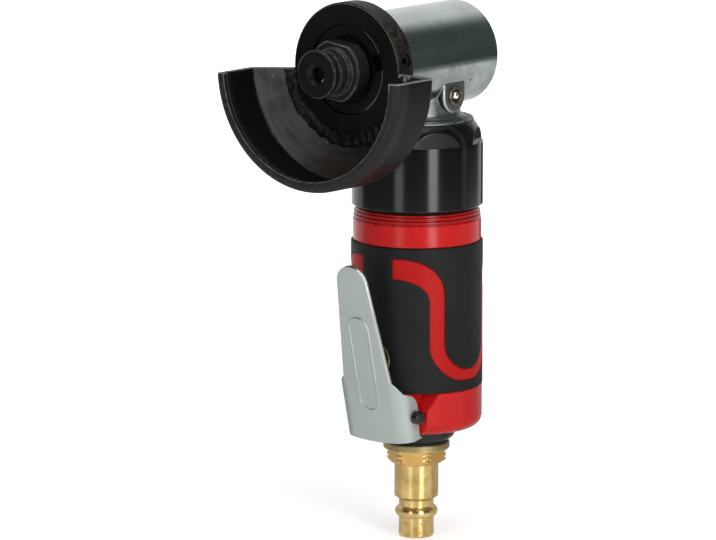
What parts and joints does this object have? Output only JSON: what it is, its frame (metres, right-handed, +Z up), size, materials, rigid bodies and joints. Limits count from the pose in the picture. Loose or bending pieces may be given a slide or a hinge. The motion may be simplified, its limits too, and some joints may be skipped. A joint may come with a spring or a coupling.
{
  "type": "mini air angle grinder",
  "caption": "Hand-held air angle grinder: bevel-geared head, turning half guard, flanged disc spindle, sprung throttle lever, rubber grip and quick-coupler air plug.",
  "frame": {"origin": "middle of the open end of the air plug", "axes": "+Z up the handle to the head, the spindle and the lever face -Y"},
  "size_m": [0.0645, 0.0687, 0.1565],
  "materials": {
    "brass": "turned brass with fine pits",
    "black_aluminium": "black anodised",
    "rubber": "matt moulded rubber",
    "red_plastic": "gloss red",
    "lever_zinc": "satin plated sheet",
    "polished_steel": "polished steel",
    "black_steel": "black oxide",
    "felt": "pressed felt",
    "vane_resin": "laminated resin",
    "bare_steel": "ground steel"
  },
  "bodies": {
    "handle": {"air_plug": "brass", "plug_seal": "rubber", "inlet_bushing": "black_aluminium", "inlet_oring": "rubber", "inlet_screen": "bare_steel", "exhaust_cover": "black_aluminium", "silencer_felt": "felt", "valve_spring": "bare_steel", "valve_seat": "brass", "seat_oring": "rubber", "motor_housing": "red_plastic", "grip_sleeve": "rubber", "grip_inlays": "red_plastic", "lever_pin": "black_steel", "plunger_bush": "brass", "rear_end_plate": "bare_steel", "cylinder_liner": "bare_steel", "front_end_plate": "bare_steel", "cylinder_dowels": "bare_steel", "clamp_collar": "black_steel", "head_housing": "polished_steel", "pinion_bearing_clip": "bare_steel", "grease_fitting": "brass", "bearing_lock_nut": "black_steel", "spindle_front_bearing_outer_race": "bare_steel", "spindle_rear_bearing_outer_race": "bare_steel", "pinion_bearing_outer_race": "bare_steel", "rotor_front_bearing_outer_race": "bare_steel", "rotor_rear_bearing_outer_race": "bare_steel"},
    "spindle": {"spindle": "bare_steel", "output_gear": "bare_steel", "gear_key": "bare_steel", "inner_flange": "black_steel", "clamp_washer": "black_steel", "spindle_front_bearing_inner_race": "bare_steel", "spindle_rear_bearing_inner_race": "bare_steel"},
    "disc_screw": {"disc_screw": "black_steel"},
    "rotor": {"rotor": "bare_steel", "rotor_vanes": "vane_resin", "bevel_pinion": "bare_steel", "pinion_bearing_inner_race": "bare_steel", "rotor_front_bearing_inner_race": "bare_steel", "rotor_rear_bearing_inner_race": "bare_steel"},
    "lever": {"throttle_lever": "lever_zinc"},
    "plunger": {"valve_plunger": "bare_steel", "plunger_oring": "rubber"},
    "tip_valve": {"tip_valve": "bare_steel", "valve_rubber": "rubber"},
    "guard": {"guard_ring": "black_steel", "guard_set_screw": "black_steel", "guard_shell": "black_steel", "guard_weld": "black_steel"},
    "spindle_front_cage": {"spindle_front_bearing_ball_cage": "bare_steel"},
    "spindle_rear_cage": {"spindle_rear_bearing_ball_cage": "bare_steel"},
    "pinion_cage": {"pinion_bearing_ball_cage": "bare_steel"},
    "rotor_front_cage": {"rotor_front_bearing_ball_cage": "bare_steel"},
    "rotor_rear_cage": {"rotor_rear_bearing_ball_cage": "bare_steel"}
  },
  "joints": [
    {"name": "spindle_spin", "type": "hinge", "parent": "handle", "child": "spindle", "pos_m": [0, 0, 0.13788], "axis": [0, -1, 0], "continuous": true},
    {"name": "rotor_spin", "type": "hinge", "parent": "handle", "child": "rotor", "pos_m": [0, 0, 0.08], "axis": [0, 0, 1], "continuous": true},
    {"name": "disc_screw_out", "type": "slide", "parent": "spindle", "child": "disc_screw", "axis": [0, -1, 0], "range_m": [0, 0.014]},
    {"name": "guard_turn", "type": "hinge", "parent": "handle", "child": "guard", "pos_m": [0, 0, 0.13788], "axis": [0, -1, 0], "continuous": true},
    {"name": "lever_press", "type": "hinge", "parent": "handle", "child": "lever", "pos_m": [0, -0.0155, 0.0386], "axis": [-1, 0, 0], "range_deg": [0, 8], "stiffness_Nm_per_rad": 1.2, "springref_deg": -5.73},
    {"name": "plunger_slide", "type": "slide", "parent": "handle", "child": "plunger", "axis": [0, 1, 0], "range_m": [0, 0.0024]},
    {"name": "valve_tilt", "type": "hinge", "parent": "handle", "child": "tip_valve", "pos_m": [0, -0.0047, 0.044], "axis": [-1, 0, 0], "range_deg": [0, 14], "deforming": ["valve_spring"]},
    {"name": "spindle_front_cage_spin", "type": "hinge", "parent": "handle", "child": "spindle_front_cage", "pos_m": [0, 0, 0.13788], "axis": [0, -1, 0], "continuous": true},
    {"name": "spindle_rear_cage_spin", "type": "hinge", "parent": "handle", "child": "spindle_rear_cage", "pos_m": [0, 0, 0.13788], "axis": [0, -1, 0], "continuous": true},
    {"name": "pinion_cage_spin", "type": "hinge", "parent": "handle", "child": "pinion_cage", "pos_m": [0, 0, 0.113], "axis": [0, 0, 1], "continuous": true},
    {"name": "rotor_front_cage_spin", "type": "hinge", "parent": "handle", "child": "rotor_front_cage", "pos_m": [0, 0, 0.0995], "axis": [0, 0, 1], "continuous": true},
    {"name": "rotor_rear_cage_spin", "type": "hinge", "parent": "handle", "child": "rotor_rear_cage", "pos_m": [0, 0, 0.0626], "axis": [0, 0, 1], "continuous": true}
  ],
  "couplings": [
    {"joint": "rotor_spin", "follows": "spindle_spin", "ratio": 1.3571},
    {"joint": "plunger_slide", "follows": "lever_press", "m_per_rad": 0.0161},
    {"joint": "valve_tilt", "follows": "lever_press", "ratio": 1.7},
    {"joint": "spindle_front_cage_spin", "follows": "spindle_spin", "ratio": 0.3875},
    {"joint": "spindle_rear_cage_spin", "follows": "spindle_spin", "ratio": 0.37143},
    {"joint": "pinion_cage_spin", "follows": "spindle_spin", "ratio": 0.5127},
    {"joint": "rotor_front_cage_spin", "follows": "spindle_spin", "ratio": 0.48857},
    {"joint": "rotor_rear_cage_spin", "follows": "spindle_spin", "ratio": 0.46531}
  ]
}
